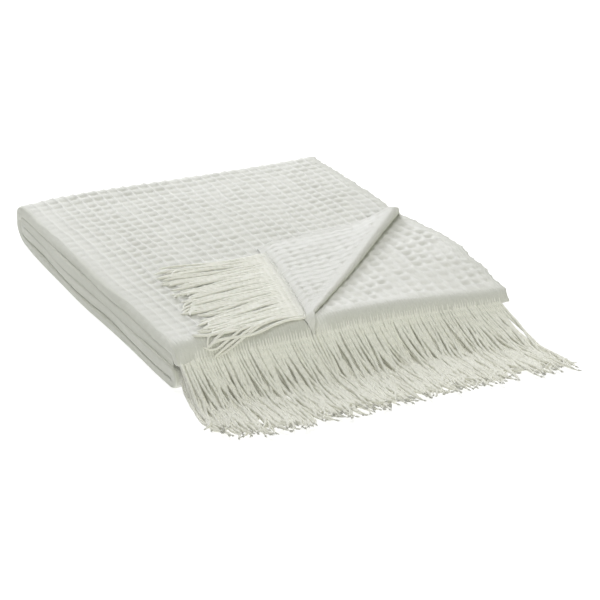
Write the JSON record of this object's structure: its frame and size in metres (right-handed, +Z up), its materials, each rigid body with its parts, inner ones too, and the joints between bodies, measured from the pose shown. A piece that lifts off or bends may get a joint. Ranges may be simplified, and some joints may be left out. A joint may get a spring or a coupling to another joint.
{
  "type": "throw blanket",
  "caption": "Waffle-woven cotton throw folded into a flat stack, with one corner of the top ply turned back and a long twisted fringe along the folded hems.",
  "frame": {"origin": "centre of the folded stack's base, on the surface that it rests on", "axes": "+X from the closed side folds to the free selvedges, +Y from the fringed edge to the closed back fold, +Z up"},
  "size_m": [0.3371, 0.5009, 0.0504],
  "materials": {
    "waffle_cloth": "undyed off-white cotton in a loose waffle weave, soft and matt",
    "fringe_yarn": "off-white cotton yarn in loose twisted strands, matt"
  },
  "bodies": {
    "root": {"throw_cloth": "waffle_cloth", "fringe_top_ply": "fringe_yarn", "fringe_second_ply": "fringe_yarn", "fringe_third_ply": "fringe_yarn", "fringe_fourth_ply": "fringe_yarn", "fringe_lower_first": "fringe_yarn", "fringe_lower_second": "fringe_yarn", "fringe_lower_third": "fringe_yarn", "fringe_lower_fourth": "fringe_yarn", "fringe_corner": "fringe_yarn"}
  },
  "joints": []
}
